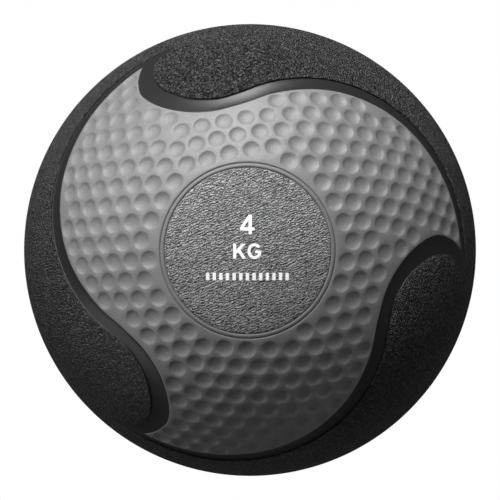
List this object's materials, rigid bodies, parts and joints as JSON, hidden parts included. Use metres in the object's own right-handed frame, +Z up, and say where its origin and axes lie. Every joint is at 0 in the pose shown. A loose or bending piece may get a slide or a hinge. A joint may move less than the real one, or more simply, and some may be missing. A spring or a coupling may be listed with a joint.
{
  "type": "medicine ball",
  "caption": "Round rubber medicine ball with a swirling pebbled grip, a dimpled panel with pointed arms, round badges and a needle valve.",
  "frame": {"origin": "centre of the ball", "axes": "+Z up as the front badge's marking reads, -Y out through the front badge's centre, +Y out through the valve, +X to the right as seen facing the front badge"},
  "size_m": [0.23, 0.23, 0.23],
  "materials": {
    "grip_rubber": "black, moulded pebble grain with smooth channels",
    "panel_rubber": "grey satin, dimpled",
    "badge_rubber": "dark grey, fine leather-like grain",
    "ring_rubber": "dark grey satin",
    "core_rubber": "matt weighted rubber compound",
    "winding_thread": "wound synthetic thread set in rubber cement",
    "bladder_rubber": "smooth butyl",
    "valve_rubber": "smooth black rubber"
  },
  "bodies": {
    "root": {"front_badge": "badge_rubber", "front_badge_ring": "ring_rubber", "front_dimple_panel": "panel_rubber", "front_grip_cover": "grip_rubber", "front_core": "core_rubber", "back_badge": "badge_rubber", "back_badge_ring": "ring_rubber", "back_dimple_panel": "panel_rubber", "back_grip_cover": "grip_rubber", "back_core": "core_rubber", "winding": "winding_thread", "bladder": "bladder_rubber", "valve_boot": "valve_rubber", "valve_plug": "valve_rubber"}
  },
  "joints": []
}
